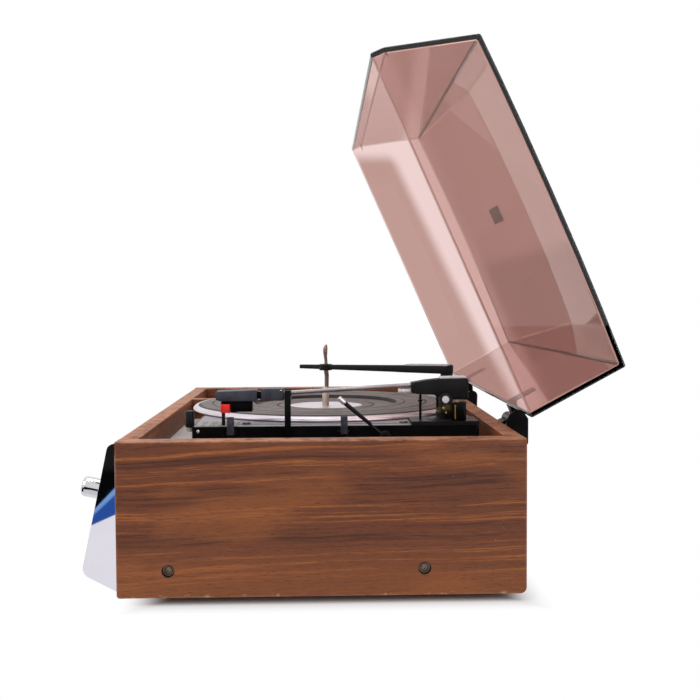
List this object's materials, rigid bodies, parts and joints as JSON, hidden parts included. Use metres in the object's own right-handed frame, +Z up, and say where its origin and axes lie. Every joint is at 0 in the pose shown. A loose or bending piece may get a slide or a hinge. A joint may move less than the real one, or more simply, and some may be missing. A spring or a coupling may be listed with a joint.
{
  "type": "compact stereo system",
  "caption": "Walnut compact stereo: record changer with tonearm and overarm, storage bay, sloped bright front with tuner knobs, and a hinged smoked dust cover shown open.",
  "frame": {"origin": "middle of the object's box, on the surface that the feet stand on, with the cover open", "axes": "+X to the set's right, +Y to its back, +Z up; the front with its knobs faces -Y"},
  "size_m": [0.548, 0.4786, 0.4852],
  "materials": {
    "walnut": "satin lacquer",
    "hardboard": "matte",
    "pale_board": "satin paint",
    "black_rubber": "matte",
    "mat_rubber": "matte",
    "dark_screw": "dark bronze",
    "black_plastic": "satin",
    "grey_plastic": "satin",
    "red_plastic": "gloss",
    "bright_front": "polished",
    "clear_window": "clear",
    "knob_metal": "turned",
    "zinc_steel": "zinc plated",
    "circuit_brown": "satin",
    "black_aluminium": "anodised",
    "deck_grey": "satin",
    "pale_trim": "satin",
    "platter_metal": "turned",
    "bright_steel": "polished",
    "cue_chrome": "polished",
    "pulley_brass": "turned",
    "smoked_acrylic": "clear smoked"
  },
  "bodies": {
    "cabinet": {"side_right": "walnut", "side_left": "walnut", "front_rails": "walnut", "rear_rail": "walnut", "divider": "walnut", "bottom_panel": "hardboard", "back_panel": "hardboard", "storage_tray": "hardboard", "motor_board": "pale_board", "feet": "black_rubber", "deck_mounts": "black_rubber", "side_screws": "dark_screw", "rear_sockets": "black_plastic", "deck_skirt": "black_plastic", "tonearm_base": "black_plastic", "tonearm_rest": "black_plastic", "overarm_sleeve": "black_plastic", "dial_scale": "black_plastic", "hinge_blocks": "black_plastic", "front_bezel": "bright_front", "dial_window": "clear_window", "control_pots": "zinc_steel", "chassis": "zinc_steel", "power_transformer": "zinc_steel", "motor": "zinc_steel", "circuit_board": "circuit_brown", "heat_sink": "black_aluminium", "deck_plate": "deck_grey", "escutcheon": "pale_trim", "transit_screws": "bright_steel", "platter_bearing": "bright_steel", "spindle": "bright_steel"},
    "cover": {"dust_cover": "smoked_acrylic", "hinge_leaves": "black_plastic"},
    "platter": {"platter": "platter_metal", "platter_mat": "mat_rubber"},
    "idler": {"idler_wheel": "black_rubber"},
    "pulley": {"motor_pulley": "pulley_brass"},
    "arm_swivel": {"tonearm_yoke": "grey_plastic", "pivot_screws": "bright_steel"},
    "arm": {"tonearm_block": "black_plastic", "tonearm_tube": "bright_steel", "headshell": "grey_plastic", "cartridge": "black_plastic"},
    "lifter": {"lift_rod": "black_plastic"},
    "overarm_post": {"overarm_shaft": "bright_steel"},
    "overarm": {"overarm": "black_plastic"},
    "cue": {"cue_lever": "cue_chrome"},
    "reject": {"reject_lever": "red_plastic"},
    "speed": {"speed_lever": "black_plastic"},
    "size": {"size_lever": "grey_plastic"},
    "mode": {"mode_lever": "grey_plastic"},
    "tuning": {"tuning_knob": "knob_metal"},
    "volume": {"volume_knob": "knob_metal"},
    "balance": {"balance_knob": "knob_metal"},
    "bass": {"bass_knob": "knob_metal"},
    "treble": {"treble_knob": "knob_metal"},
    "function": {"function_knob": "knob_metal"},
    "pointer": {"dial_pointer": "red_plastic"}
  },
  "joints": [
    {"name": "cover_hinge", "type": "hinge", "parent": "cabinet", "child": "cover", "pos_m": [0, 0.16285, 0.14], "axis": [1, 0, 0], "range_deg": [0, 66]},
    {"name": "platter_spin", "type": "hinge", "parent": "cabinet", "child": "platter", "pos_m": [0.0495, -0.02045, 0.145], "axis": [0, 0, 1], "continuous": true},
    {"name": "idler_spin", "type": "hinge", "parent": "cabinet", "child": "idler", "pos_m": [-0.01424, 0.01636, 0.1388], "axis": [0, 0, 1], "continuous": true},
    {"name": "pulley_spin", "type": "hinge", "parent": "cabinet", "child": "pulley", "pos_m": [-0.0243, -0.01127, 0.1388], "axis": [0, 0, 1], "continuous": true},
    {"name": "arm_swing", "type": "hinge", "parent": "cabinet", "child": "arm_swivel", "pos_m": [0.195, 0.08865, 0.1675], "axis": [0, 0, -1], "range_deg": [0, 34]},
    {"name": "arm_lift", "type": "hinge", "parent": "arm_swivel", "child": "arm", "pos_m": [0.195, 0.08865, 0.1675], "axis": [-1, 0, 0], "range_deg": [0, 4]},
    {"name": "lifter_rise", "type": "slide", "parent": "cabinet", "child": "lifter", "axis": [0, 0, 1], "range_m": [0, 0.0015]},
    {"name": "cue_turn", "type": "hinge", "parent": "cabinet", "child": "cue", "pos_m": [0.2225, 0.03236, 0.136], "axis": [-1, 0, 0], "range_deg": [0, 36]},
    {"name": "overarm_lift", "type": "slide", "parent": "cabinet", "child": "overarm_post", "axis": [0, 0, 1], "range_m": [0, 0.02]},
    {"name": "overarm_swing", "type": "hinge", "parent": "overarm_post", "child": "overarm", "pos_m": [0.1425, 0.09775, 0.187], "axis": [0, 0, 1], "range_deg": [0, 40]},
    {"name": "reject_slide", "type": "slide", "parent": "cabinet", "child": "reject", "axis": [0, 1, 0], "range_m": [-0.004, 0.004]},
    {"name": "speed_slide", "type": "slide", "parent": "cabinet", "child": "speed", "axis": [1, 0, 0], "range_m": [-0.005, 0.005]},
    {"name": "size_slide", "type": "slide", "parent": "cabinet", "child": "size", "axis": [0, 1, 0], "range_m": [-0.004, 0.004]},
    {"name": "mode_slide", "type": "slide", "parent": "cabinet", "child": "mode", "axis": [0, 1, 0], "range_m": [-0.004, 0.004]},
    {"name": "tuning_turn", "type": "hinge", "parent": "cabinet", "child": "tuning", "pos_m": [0.238, -0.21451, 0.093], "axis": [0, -0.9778, 0.2096], "range_deg": [-150, 150]},
    {"name": "volume_turn", "type": "hinge", "parent": "cabinet", "child": "volume", "pos_m": [0.14, -0.2233, 0.052], "axis": [0, -0.9778, 0.2096], "range_deg": [-150, 150]},
    {"name": "balance_turn", "type": "hinge", "parent": "cabinet", "child": "balance", "pos_m": [0.096, -0.2233, 0.052], "axis": [0, -0.9778, 0.2096], "range_deg": [-150, 150]},
    {"name": "bass_turn", "type": "hinge", "parent": "cabinet", "child": "bass", "pos_m": [0.052, -0.2233, 0.052], "axis": [0, -0.9778, 0.2096], "range_deg": [-150, 150]},
    {"name": "treble_turn", "type": "hinge", "parent": "cabinet", "child": "treble", "pos_m": [0.008, -0.2233, 0.052], "axis": [0, -0.9778, 0.2096], "range_deg": [-150, 150]},
    {"name": "function_turn", "type": "hinge", "parent": "cabinet", "child": "function", "pos_m": [-0.054, -0.21451, 0.093], "axis": [0, -0.9778, 0.2096], "range_deg": [-75, 75]},
    {"name": "pointer_slide", "type": "slide", "parent": "cabinet", "child": "pointer", "axis": [1, 0, 0], "range_m": [-0.1, 0.1]}
  ],
  "couplings": [
    {"joint": "idler_spin", "follows": "platter_spin", "ratio": 4.0833},
    {"joint": "pulley_spin", "follows": "platter_spin", "ratio": -19.6},
    {"joint": "lifter_rise", "follows": "arm_lift", "m_per_rad": 0.02},
    {"joint": "cue_turn", "follows": "arm_lift", "ratio": 8.75},
    {"joint": "pointer_slide", "follows": "tuning_turn", "m_per_rad": 0.038}
  ]
}
